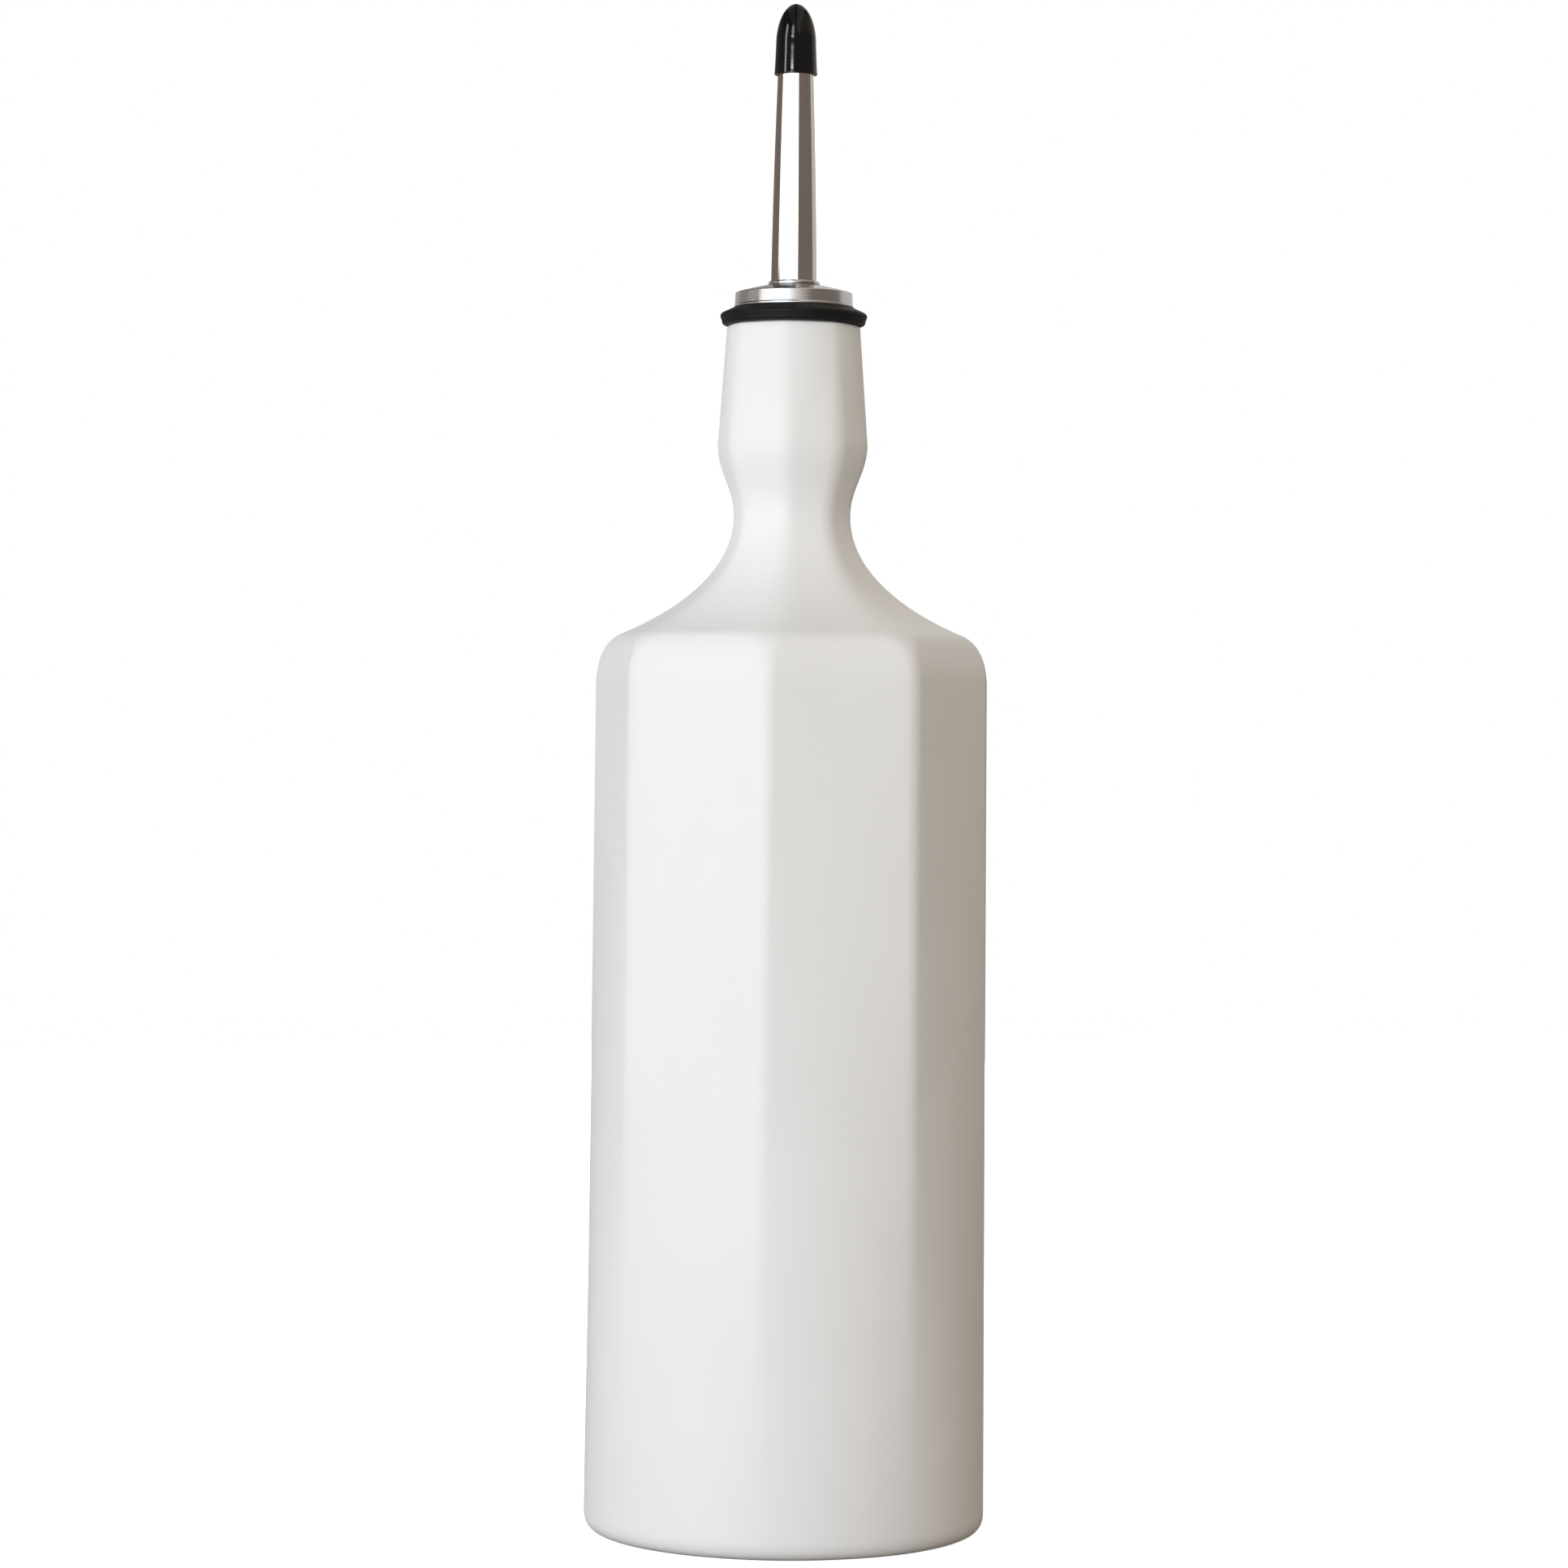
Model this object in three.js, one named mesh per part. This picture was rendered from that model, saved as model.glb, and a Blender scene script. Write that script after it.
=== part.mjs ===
// Ceramic oil dispenser: a faceted slip-cast bottle closed by a push-in steel pourer with a dust cap.
// Millimetres, +Z up. The origin is the middle of the foot, on the surface that the bottle stands on.
import * as THREE from 'three';

const { clamp, degToRad, lerp, smoothstep } = THREE.MathUtils;

// Bottle: how far its facet edges reach from the axis, and the rise of each form above the one below
const BASE_RADIUS = 40.7;
const BASE_EDGE = 4;
const FOOT_WIDTH = 6;
const FOOT_RECESS = 1.5;
const SHOULDER_RADIUS = 39.95;
const BODY_HEIGHT = 179.8;
const SHOULDER_SLOPE = 22.2;
const SHOULDER_FILLET_DROP = 8.5;
const SHOULDER_FILLET_RUN = 5.8;
const SHOULDER_RISE = 26.2;
const SHOULDER_HANDLE = 5.4;
const WAIST_RADIUS = 11.88;
const WAIST_HANDLE = 14;
const THROAT_RISE = 14.5;
const THROAT_HANDLE = 5.8;
const BARREL_SWELL = 1.66;
const BARREL_HEIGHT = 24.2;
const LIP_WALL = 3.6;
const LIP_EDGE = 0.9;
const MOUTH_EDGE = 0.8;
const NECK_BORE_RADIUS = 10;
const BORE_SPARE = 4;
const WALL = 3.6;
const FLOOR = 5;
const FLOOR_FILLET = 7;

// Facets: flat faces and crisp edges under the shoulder, which fade downwards into the round foot.
// A roundness of 0 is a flat face and 1 is round, and an edge's radius is a share of its reach.
const FACETS = 8;
const FACET_FADE_HEIGHT = 170;
const FACE_FADE_POWER = 1.3;
const EDGE_FADE_POWER = 4;
const LEAST_ROUNDNESS = 0.001;
const MOST_ROUNDNESS = 0.85;
const NECK_ROUNDNESS = 0.1;
const LIP_ROUNDNESS = 0.6;
const INSIDE_ROUNDNESS = 0.2;
const BASE_EDGE_SHARE = 0.9;
const BODY_EDGE_SHARE = 0.13;
const NECK_EDGE_SHARE = 0.45;
const SHOULDER_EDGE_LEAD = 2.8;
const SHOULDER_EDGE_RISE = 7;

// Rubber stopper
const FLANGE_RADIUS = 15.1;
const FLANGE_OVERHANG = 0.15;
const FLANGE_RIM_HEIGHT = 2.2;
const FLANGE_EDGE = 0.8;
const FLANGE_TAPER = 0.5;
const FLANGE_FOOT_EDGE = 0.85;
const FLANGE_CONE_RISE = 1.4;
const PLUG_LENGTH = 21;
const PLUG_WALL = 2.1;
const PLUG_NOSE = 1;
const FIN_PITCH = 5;
const FIN_DEPTH = 1.7;
const FIN_RISE = 1.6;
const FIN_TIP = 0.8;
const FIN_BACK = 0.6;

// Steel pourer
const STEEL_WALL = 0.6;
const COLLAR_RADIUS = 12.1;
const COLLAR_DRAFT = 0.1;
const COLLAR_SKIRT = 2.95;
const COLLAR_BEAD = 0.12;
const COLLAR_BEAD_HEIGHT = 0.5;
const COLLAR_DOME = 1.7;
const COLLAR_DOME_BREAK = 0.92;
const COLLAR_DOME_FULLNESS = 0.45;
const RING_WIDTH = 0.4;
const RING_HEIGHT = 0.7;
const SPOUT_FOOT_RADIUS = 4.72;
const SPOUT_TIP_RADIUS = 3.38;
const SPOUT_SWELL = 0.165;
const SPOUT_LENGTH = 50.65;
const SPOUT_WALL = 0.45;
const SHANK_TAIL = 1.6;
const SHANK_FLARE = 1.4;
const VENT_RADIUS = 1.1;
const VENT_WALL = 0.35;
const VENT_RISE = 22;
const VENT_TAIL = 10;

// Dust cap
const CAP_WALL = 0.5;
const CAP_SKIRT = 6.2;
const CAP_DOME = 8.2;
const CAP_TOP_WALL = 2.2;
const CAP_OVERLAP = 8;
const CAP_BEAD = 0.07;
const CAP_BEAD_HEIGHT = 0.6;

// Clearances
const FIN_GAP = 0.3;
const FIT_GAP = 0.3;
const BRAZE_GAP = 0.1;
const CAP_GAP = 0.12;

// Fineness of the faceted surfaces
const FACE_STEPS = 4;
const EDGE_STEPS = 3;
const CURVE_STEPS = 4;
const ROUND_STEPS = 32;
const VENT_STEPS = 16;
const SPOUT_RINGS = 8;
const OUTSIDE_STEPS = { side: 10, fillet: 6, shoulder: 9, throat: 7, barrel: 3 };
const INSIDE_STEPS = { side: 5, fillet: 3, shoulder: 5, throat: 4, barrel: 2 };

// Heights on the bottle
const waistHeight = BODY_HEIGHT + SHOULDER_RISE;
const barrelHeight = waistHeight + THROAT_RISE;
const lipHeight = barrelHeight + BARREL_HEIGHT;
const boreFootHeight = lipHeight - PLUG_LENGTH - SHANK_TAIL - BORE_SPARE;

// Radii that follow from what fits into what
const lipRadius = NECK_BORE_RADIUS + LIP_WALL;
const barrelRadius = lipRadius + BARREL_SWELL;
const finRadius = NECK_BORE_RADIUS - FIN_GAP;
const plugRadius = finRadius - FIN_DEPTH;
const stopperBore = plugRadius - PLUG_WALL;
const shankRadius = stopperBore - FIT_GAP;
const shankBore = shankRadius - STEEL_WALL;
const collarInside = COLLAR_RADIUS - COLLAR_BEAD - STEEL_WALL;
const collarHole = SPOUT_FOOT_RADIUS + BRAZE_GAP;

// Heights in the pourer, above the bottle's lip
const shelfHeight = FLANGE_RIM_HEIGHT + FLANGE_CONE_RISE;
const skirtTop = shelfHeight + COLLAR_SKIRT;
const collarTop = skirtTop + COLLAR_DOME;
const bossTop = skirtTop - STEEL_WALL - FIT_GAP;
const shankTop = collarTop - STEEL_WALL - FIT_GAP;
const shankFoot = -PLUG_LENGTH - SHANK_TAIL;
const spoutTip = collarTop + SPOUT_LENGTH;
const ventTop = collarTop + VENT_RISE;
const ventFoot = shankFoot - VENT_TAIL;
const capMouth = spoutTip - CAP_OVERLAP;

const at = (radius, height) => new THREE.Vector2(radius, height);

// The point that lies a distance from one point on the way to another
const towards = (from, to, distance) => from.clone().add(to.clone().sub(from).setLength(distance));

// Half the angle of a facet
const halfFacet = Math.PI / FACETS;

// Points on an arc about a centre that stands off from the axis in one direction, without the last
function arcPoints(arc, steps, height) {
  return Array.from({ length: steps }, (_, step) => {
    const turn = arc.facing + arc.swing * ((2 * step) / steps - 1);
    return new THREE.Vector3(
      arc.centre * Math.cos(arc.facing) + arc.radius * Math.cos(turn),
      arc.centre * Math.sin(arc.facing) + arc.radius * Math.sin(turn),
      height,
    );
  });
}

// One level of the bottle: bulging faces that meet in rounded edges at the given reach
function facetedRing({ reach, height, roundness, edgeShare }) {
  const swing = halfFacet * clamp(roundness, LEAST_ROUNDNESS, MOST_ROUNDNESS);
  const edgeRadius = reach * edgeShare;
  const edgeCentre = reach - edgeRadius;
  const spare = (edgeCentre * Math.sin(halfFacet)) / Math.sin(swing);
  const faceCentre = edgeCentre * Math.cos(halfFacet) - spare * Math.cos(swing);
  const ring = [];
  for (let facet = 0; facet < FACETS; facet += 1) {
    const facing = 2 * halfFacet * facet;
    const face = { facing, swing, centre: faceCentre, radius: edgeRadius + spare };
    const edge = {
      facing: facing + halfFacet,
      swing: halfFacet - swing,
      centre: edgeCentre,
      radius: edgeRadius,
    };
    ring.push(...arcPoints(face, FACE_STEPS, height), ...arcPoints(edge, EDGE_STEPS, height));
  }
  return ring;
}

// A closed skin over rings of equal length that starts and ends at a point on the axis
function skinned(startHeight, rings, endHeight) {
  const count = rings[0].length;
  const last = rings.length * count + 1;
  const points = [new THREE.Vector3(0, 0, startHeight), ...rings.flat(), new THREE.Vector3(0, 0, endHeight)];
  const vertex = (ring, step) => 1 + ring * count + (step % count);
  const faces = [];
  for (let step = 0; step < count; step += 1) {
    faces.push(0, vertex(0, step + 1), vertex(0, step));
    faces.push(last, vertex(rings.length - 1, step), vertex(rings.length - 1, step + 1));
    for (let ring = 0; ring < rings.length - 1; ring += 1) {
      faces.push(vertex(ring, step), vertex(ring, step + 1), vertex(ring + 1, step + 1));
      faces.push(vertex(ring, step), vertex(ring + 1, step + 1), vertex(ring + 1, step));
    }
  }
  const geometry = new THREE.BufferGeometry().setFromPoints(points);
  geometry.setIndex(faces);
  geometry.computeVertexNormals();
  return geometry;
}

// A solid turned about Z from an outline of radius and height
function turned(outline, steps = ROUND_STEPS) {
  return new THREE.LatheGeometry(outline, steps).rotateX(Math.PI / 2);
}

function closed(points) {
  return [...points, points[0].clone()];
}

// The bottle's side from foot to lip, as the reach of its facet edges
const slope = at(-Math.cos(degToRad(SHOULDER_SLOPE)), Math.sin(degToRad(SHOULDER_SLOPE)));
const sideFoot = at(BASE_RADIUS, BASE_EDGE);
const crease = at(SHOULDER_RADIUS, BODY_HEIGHT);
const filletFoot = towards(crease, sideFoot, SHOULDER_FILLET_DROP);
const filletTop = crease.clone().addScaledVector(slope, SHOULDER_FILLET_RUN);
const waist = at(WAIST_RADIUS, waistHeight);
const barrel = at(barrelRadius, barrelHeight);
const lipFoot = at(lipRadius, lipHeight - LIP_EDGE);

function sideLine(steps) {
  const stretches = [
    [new THREE.LineCurve(sideFoot, filletFoot), steps.side],
    [new THREE.QuadraticBezierCurve(filletFoot, crease, filletTop), steps.fillet],
    [new THREE.CubicBezierCurve(
      filletTop,
      filletTop.clone().addScaledVector(slope, SHOULDER_HANDLE),
      at(WAIST_RADIUS, waistHeight - WAIST_HANDLE),
      waist,
    ), steps.shoulder],
    [new THREE.CubicBezierCurve(
      waist,
      at(WAIST_RADIUS, waistHeight + THROAT_HANDLE),
      at(barrelRadius, barrelHeight - THROAT_HANDLE),
      barrel,
    ), steps.throat],
    [new THREE.LineCurve(barrel, lipFoot), steps.barrel],
  ];
  return [sideFoot, ...stretches.flatMap(([curve, count]) => curve.getPoints(count).slice(1))];
}

// How much of the round foot's form is left at a height
const fadeAt = (height) => Math.max(1 - height / FACET_FADE_HEIGHT, 0);

// How far the faces bulge out towards a round section at a height
function roundnessAt(height) {
  const neck = NECK_ROUNDNESS * smoothstep(height, BODY_HEIGHT, waistHeight);
  const upper = lerp(neck, LIP_ROUNDNESS, smoothstep(height, barrelHeight, lipHeight));
  return Math.max(fadeAt(height) ** FACE_FADE_POWER, upper);
}

// The radius of the edges between the faces at a height, as a share of their reach
function edgeShareAt(height) {
  const body = lerp(BODY_EDGE_SHARE, BASE_EDGE_SHARE, fadeAt(height) ** EDGE_FADE_POWER);
  const softFoot = BODY_HEIGHT - SHOULDER_EDGE_LEAD;
  return lerp(body, NECK_EDGE_SHARE, smoothstep(height, softFoot, softFoot + SHOULDER_EDGE_RISE));
}

function outsideLevel(point) {
  const height = point.y;
  return { reach: point.x, height, roundness: roundnessAt(height), edgeShare: edgeShareAt(height) };
}

const roundLevel = (reach, height) => ({ reach, height, roundness: 1, edgeShare: 1 });

// The inside keeps the wall's thickness, with rounder faces, and ends in a round bore for the stopper
function insideLevel(point) {
  const height = point.y;
  if (height > boreFootHeight) return roundLevel(NECK_BORE_RADIUS, height);
  const rounding = smoothstep(height, BODY_HEIGHT, waistHeight);
  return {
    reach: height > waistHeight ? Math.min(point.x, NECK_BORE_RADIUS) : point.x,
    height,
    roundness: Math.max(lerp(roundnessAt(height), 1, INSIDE_ROUNDNESS), rounding),
    edgeShare: lerp(edgeShareAt(height), 1, rounding),
  };
}

// An outline moved to its left by a distance, square to itself
function inset(points, distance) {
  return points.map((point, index) => {
    const before = points[Math.max(index - 1, 0)];
    const after = points[Math.min(index + 1, points.length - 1)];
    const along = after.clone().sub(before).normalize();
    return at(point.x - distance * along.y, point.y + distance * along.x);
  });
}

function bottle() {
  const footInside = BASE_RADIUS - BASE_EDGE - FOOT_WIDTH;
  const edge = new THREE.QuadraticBezierCurve(at(BASE_RADIUS - BASE_EDGE, 0), at(BASE_RADIUS, 0), sideFoot);
  const lip = new THREE.QuadraticBezierCurve(
    lipFoot,
    at(lipRadius, lipHeight),
    at(lipRadius - LIP_EDGE, lipHeight),
  );
  const outside = [
    at(footInside - FOOT_RECESS, FOOT_RECESS),
    at(footInside, 0),
    ...edge.getPoints(CURVE_STEPS).slice(0, -1),
    ...sideLine(OUTSIDE_STEPS),
    ...lip.getPoints(CURVE_STEPS).slice(1),
  ];
  const wallTop = FLOOR + FLOOR_FILLET;
  const wallLine = inset(sideLine(INSIDE_STEPS), WALL);
  const inside = wallLine.filter((point) => point.y > wallTop && point.y < lipHeight - LIP_EDGE);
  const floorSide = at(inside[0].x, wallTop);
  const floorEdge = new THREE.QuadraticBezierCurve(
    floorSide,
    at(floorSide.x, FLOOR),
    at(floorSide.x - FLOOR_FILLET, FLOOR),
  );
  const mouth = [
    roundLevel(NECK_BORE_RADIUS + MOUTH_EDGE, lipHeight),
    roundLevel(NECK_BORE_RADIUS, lipHeight - MOUTH_EDGE),
  ];
  const levels = [
    ...outside.map(outsideLevel),
    ...mouth,
    ...inside.reverse().map(insideLevel),
    ...floorEdge.getPoints(CURVE_STEPS).map(insideLevel),
  ];
  return skinned(FOOT_RECESS, levels.map(facetedRing), FLOOR);
}

function stopper() {
  const flangeSide = at(FLANGE_RADIUS - FLANGE_TAPER, FLANGE_FOOT_EDGE);
  const rim = at(FLANGE_RADIUS, FLANGE_RIM_HEIGHT);
  const shelf = at(COLLAR_RADIUS, shelfHeight);
  const underRim = towards(rim, flangeSide, FLANGE_EDGE);
  const overRim = towards(rim, shelf, FLANGE_EDGE);
  const outline = new THREE.Path();
  outline.moveTo(stopperBore, -PLUG_LENGTH);
  outline.lineTo(plugRadius, -PLUG_LENGTH);
  const finCount = Math.floor((PLUG_LENGTH - PLUG_NOSE) / FIN_PITCH);
  for (let fin = 0; fin < finCount; fin += 1) {
    const root = -PLUG_LENGTH + PLUG_NOSE + fin * FIN_PITCH;
    outline.lineTo(plugRadius, root);
    outline.lineTo(finRadius, root + FIN_RISE);
    outline.lineTo(finRadius, root + FIN_RISE + FIN_TIP);
    outline.lineTo(plugRadius, root + FIN_RISE + FIN_TIP + FIN_BACK);
  }
  outline.lineTo(plugRadius, 0);
  outline.lineTo(lipRadius + FLANGE_OVERHANG, 0);
  outline.quadraticCurveTo(flangeSide.x, 0, flangeSide.x, flangeSide.y);
  outline.lineTo(underRim.x, underRim.y);
  outline.quadraticCurveTo(rim.x, rim.y, overRim.x, overRim.y);
  outline.lineTo(shelf.x, shelf.y);
  outline.lineTo(collarInside - FIT_GAP, shelfHeight);
  outline.lineTo(collarInside - FIT_GAP, bossTop);
  outline.lineTo(stopperBore, bossTop);
  outline.closePath();
  return turned(outline.getPoints(CURVE_STEPS));
}

function collar() {
  const side = COLLAR_RADIUS - COLLAR_BEAD;
  const rim = side - COLLAR_DRAFT;
  const breakRadius = lerp(collarHole, rim, COLLAR_DOME_BREAK);
  const breakHeight = lerp(skirtTop, collarTop, COLLAR_DOME_FULLNESS);
  const outline = new THREE.Path();
  outline.moveTo(COLLAR_RADIUS, shelfHeight);
  outline.lineTo(COLLAR_RADIUS, shelfHeight + COLLAR_BEAD_HEIGHT - COLLAR_BEAD);
  outline.lineTo(side, shelfHeight + COLLAR_BEAD_HEIGHT);
  outline.lineTo(rim, skirtTop);
  outline.quadraticCurveTo(breakRadius, breakHeight, collarHole, collarTop);
  outline.lineTo(collarHole, collarTop - STEEL_WALL);
  outline.quadraticCurveTo(breakRadius, breakHeight - STEEL_WALL, rim - STEEL_WALL, skirtTop - STEEL_WALL);
  outline.lineTo(collarInside, shelfHeight);
  outline.closePath();
  return turned(outline.getPoints(CURVE_STEPS));
}

function spoutRing() {
  const outer = collarHole + RING_WIDTH;
  const outline = new THREE.Path();
  outline.moveTo(collarHole, collarTop);
  outline.lineTo(outer, collarTop);
  outline.lineTo(outer, collarTop + RING_HEIGHT / 2);
  outline.quadraticCurveTo(outer, collarTop + RING_HEIGHT, collarHole, collarTop + RING_HEIGHT);
  outline.closePath();
  return turned(outline.getPoints(CURVE_STEPS));
}

// The spout's outer radius narrows from foot to tip, with a slight swell between
function spoutRadius(height) {
  const share = (height - collarTop) / SPOUT_LENGTH;
  return lerp(SPOUT_FOOT_RADIUS, SPOUT_TIP_RADIUS, share) + 4 * SPOUT_SWELL * share * (1 - share);
}

// Heights evenly spread between two levels
function spread(from, to, steps) {
  return Array.from({ length: steps + 1 }, (_, step) => lerp(from, to, step / steps));
}

function spout() {
  const foot = collarTop - STEEL_WALL;
  const heights = [foot, ...spread(collarTop, spoutTip, SPOUT_RINGS)];
  const outer = heights.map((height) => at(spoutRadius(height), height));
  const inner = heights.map((height) => at(spoutRadius(height) - SPOUT_WALL, height));
  return turned(closed([...outer, ...inner.reverse()]));
}

function shank() {
  const flareRadius = shankRadius + SHANK_FLARE;
  const flareTop = -PLUG_LENGTH - FIT_GAP;
  const outline = new THREE.Path();
  outline.moveTo(shankBore, shankFoot + STEEL_WALL);
  outline.quadraticCurveTo(shankBore, shankFoot, shankRadius, shankFoot);
  outline.lineTo(flareRadius, shankFoot);
  outline.lineTo(flareRadius, flareTop);
  outline.lineTo(shankRadius, flareTop);
  outline.lineTo(shankRadius, shankTop);
  outline.lineTo(shankBore, shankTop);
  outline.closePath();
  return turned(outline.getPoints(CURVE_STEPS));
}

// The vent lies against the narrower of the two steel bores that it runs through
const ventReach = Math.min(spoutRadius(ventTop) - SPOUT_WALL, shankBore) - FIT_GAP;

function vent() {
  const bore = VENT_RADIUS - VENT_WALL;
  const outer = [at(VENT_RADIUS, ventFoot), at(VENT_RADIUS, ventTop)];
  const inner = [at(bore, ventTop), at(bore, ventFoot)];
  return turned(closed([...outer, ...inner]), VENT_STEPS);
}

function dustCap() {
  const seatRadius = (height) => spoutRadius(height) + CAP_GAP;
  const wallRadius = (height) => seatRadius(height) + CAP_WALL;
  const domeFoot = capMouth + CAP_SKIRT;
  const seatTop = spoutTip + CAP_GAP;
  const outerTop = domeFoot + CAP_DOME;
  const innerTop = outerTop - CAP_TOP_WALL;
  const outline = new THREE.Path();
  outline.moveTo(0, innerTop);
  outline.absellipse(0, seatTop, seatRadius(spoutTip), innerTop - seatTop, Math.PI / 2, 0, true);
  outline.lineTo(seatRadius(capMouth), capMouth);
  outline.lineTo(wallRadius(capMouth) + CAP_BEAD, capMouth);
  outline.lineTo(wallRadius(capMouth) + CAP_BEAD, capMouth + CAP_BEAD_HEIGHT);
  outline.lineTo(wallRadius(domeFoot), domeFoot);
  outline.absellipse(0, domeFoot, wallRadius(domeFoot), CAP_DOME, 0, Math.PI / 2, false);
  return turned(outline.getPoints(CURVE_STEPS));
}

const ceramic = new THREE.MeshStandardMaterial({ color: 0xeceae6, roughness: 0.38, metalness: 0 });
const rubber = new THREE.MeshStandardMaterial({ color: 0x2b2b2b, roughness: 0.62, metalness: 0 });
const polishedSteel = new THREE.MeshStandardMaterial({ color: 0xc9c5c0, roughness: 0.12, metalness: 1 });
const brushedSteel = new THREE.MeshStandardMaterial({ color: 0xbdb9b4, roughness: 0.28, metalness: 1 });
const blackPlastic = new THREE.MeshStandardMaterial({ color: 0x202122, roughness: 0.25, metalness: 0 });

function piece(name, geometry, material) {
  const mesh = new THREE.Mesh(geometry, material.clone());
  mesh.name = name;
  return mesh;
}

// The pourer stands on the bottle's lip
const ventTube = piece('vent_tube', vent(), polishedSteel);
ventTube.position.y = ventReach - VENT_RADIUS;

const pourer = new THREE.Group();
pourer.position.z = lipHeight;
pourer.add(
  piece('rubber_stopper', stopper(), rubber),
  piece('steel_collar', collar(), brushedSteel),
  piece('spout_ring', spoutRing(), brushedSteel),
  piece('pour_spout', spout(), polishedSteel),
  piece('shank_tube', shank(), polishedSteel),
  ventTube,
  piece('dust_cap', dustCap(), blackPlastic),
);

const dispenser = new THREE.Group();
dispenser.add(piece('ceramic_bottle', bottle(), ceramic), pourer);

export default dispenser;
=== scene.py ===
"""Looks of a ceramic oil dispenser: fine meshes, finishes, light and camera around its fixed frame."""
import math

import bmesh
import bpy
from mathutils import Matrix, Vector


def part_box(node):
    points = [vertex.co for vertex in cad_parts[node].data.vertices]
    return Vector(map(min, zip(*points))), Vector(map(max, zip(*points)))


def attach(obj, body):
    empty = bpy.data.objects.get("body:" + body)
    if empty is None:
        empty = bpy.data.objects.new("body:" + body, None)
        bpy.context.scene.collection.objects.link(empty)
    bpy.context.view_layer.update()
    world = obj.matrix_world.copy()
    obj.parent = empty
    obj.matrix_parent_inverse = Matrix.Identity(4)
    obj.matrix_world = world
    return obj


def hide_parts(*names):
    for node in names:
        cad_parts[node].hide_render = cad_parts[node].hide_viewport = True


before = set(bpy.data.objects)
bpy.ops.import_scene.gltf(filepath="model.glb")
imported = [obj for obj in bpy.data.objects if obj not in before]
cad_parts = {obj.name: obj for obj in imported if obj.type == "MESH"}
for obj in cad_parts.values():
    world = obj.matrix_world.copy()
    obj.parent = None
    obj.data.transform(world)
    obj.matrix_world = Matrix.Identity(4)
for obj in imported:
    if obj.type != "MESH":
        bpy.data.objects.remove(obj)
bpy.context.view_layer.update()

MM = 0.001

# Bottle, in millimetres: the reach of its facet edges and the rise of each form above the one below
BASE_RADIUS = 40.7
BASE_EDGE = 4
FOOT_WIDTH = 6
FOOT_RECESS = 1.5
SHOULDER_RADIUS = 39.95
BODY_HEIGHT = 179.8
SHOULDER_SLOPE = math.radians(22.2)
SHOULDER_FILLET_DROP = 8.5
SHOULDER_FILLET_RUN = 5.8
SHOULDER_RISE = 26.2
SHOULDER_HANDLE = 5.4
WAIST_RADIUS = 11.88
WAIST_HANDLE = 14
THROAT_RISE = 14.5
THROAT_HANDLE = 5.8
BARREL_RADIUS = 15.26
BARREL_HEIGHT = 24.2
LIP_RADIUS = 13.6
LIP_EDGE = 0.9
MOUTH_EDGE = 0.8
NECK_BORE_RADIUS = 10
BORE_FOOT_DEPTH = 26.6
WALL = 3.6
FLOOR_THICKNESS = 5
FLOOR_FILLET = 7
# The glaze stops this high above the foot. The bare clay below it is dark brown, which is partly
# painted reflection: it stands in for the table's reflection along the bottom edge.
GLAZE_AND_REFLECTION_LINE = 0.35

# Facets: a roundness of 0 is flat and 1 is round, and an edge's radius is a share of its reach
FACETS = 8
FACET_FADE_HEIGHT = 170
FACE_FADE_POWER = 1.3
EDGE_FADE_POWER = 4
LEAST_ROUNDNESS = 0.001
MOST_ROUNDNESS = 0.85
NECK_ROUNDNESS = 0.1
LIP_ROUNDNESS = 0.6
INSIDE_ROUNDNESS = 0.2
BASE_EDGE_SHARE = 0.9
BODY_EDGE_SHARE = 0.13
NECK_EDGE_SHARE = 0.45
SHOULDER_EDGE_LEAD = 2.8
SHOULDER_EDGE_RISE = 7

# Rubber stopper, with heights above the lip
STOPPER_BORE = 5.9
FLANGE_FOOT_RADIUS = 13.75
FLANGE_RADIUS = 15.1
FLANGE_RIM_HEIGHT = 2.2
FLANGE_EDGE = 0.8
FLANGE_TAPER = 0.5
FLANGE_FOOT_EDGE = 0.85
SHELF_HEIGHT = 3.6
BOSS_RADIUS = 11.08
BOSS_TOP = 5.65
PLUG_RADIUS = 8
PLUG_LENGTH = 21
PLUG_NOSE = 1
FIN_COUNT = 4
FIN_PITCH = 5
FIN_RADIUS = 9.7
FIN_RISE = 1.6
FIN_TIP = 0.8
FIN_BACK = 0.6
RUBBER_EDGE = 0.35

# Steel pourer, with heights above the lip
STEEL_WALL = 0.6
STEEL_EDGE = 0.12
COLLAR_RADIUS = 12.1
COLLAR_DRAFT = 0.1
COLLAR_SKIRT = 2.95
COLLAR_BEAD = 0.12
COLLAR_BEAD_HEIGHT = 0.5
COLLAR_DOME = 1.7
COLLAR_DOME_BREAK = 0.7
COLLAR_DOME_FULLNESS = 0.4
COLLAR_HOLE = 4.82
RING_WIDTH = 0.4
RING_HEIGHT = 0.7
SPOUT_FOOT_RADIUS = 4.72
SPOUT_TIP_RADIUS = 3.38
SPOUT_SWELL = 0.165
SPOUT_LENGTH = 50.65
SPOUT_WALL = 0.45
SHANK_RADIUS = 5.6
SHANK_TAIL = 1.6
SHANK_FLARE = 1.4
SHANK_TOP = 7.35
FIT_GAP = 0.3
VENT_RADIUS = 1.1
VENT_WALL = 0.35
VENT_EDGE = 0.08

# Dust cap
CAP_WALL = 0.5
CAP_SKIRT = 6.2
CAP_DOME = 8.2
CAP_TOP_WALL = 2.2
CAP_OVERLAP = 8
CAP_GAP = 0.12
CAP_BEAD = 0.07
CAP_BEAD_HEIGHT = 0.6
CAP_EDGE = 0.12

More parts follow.
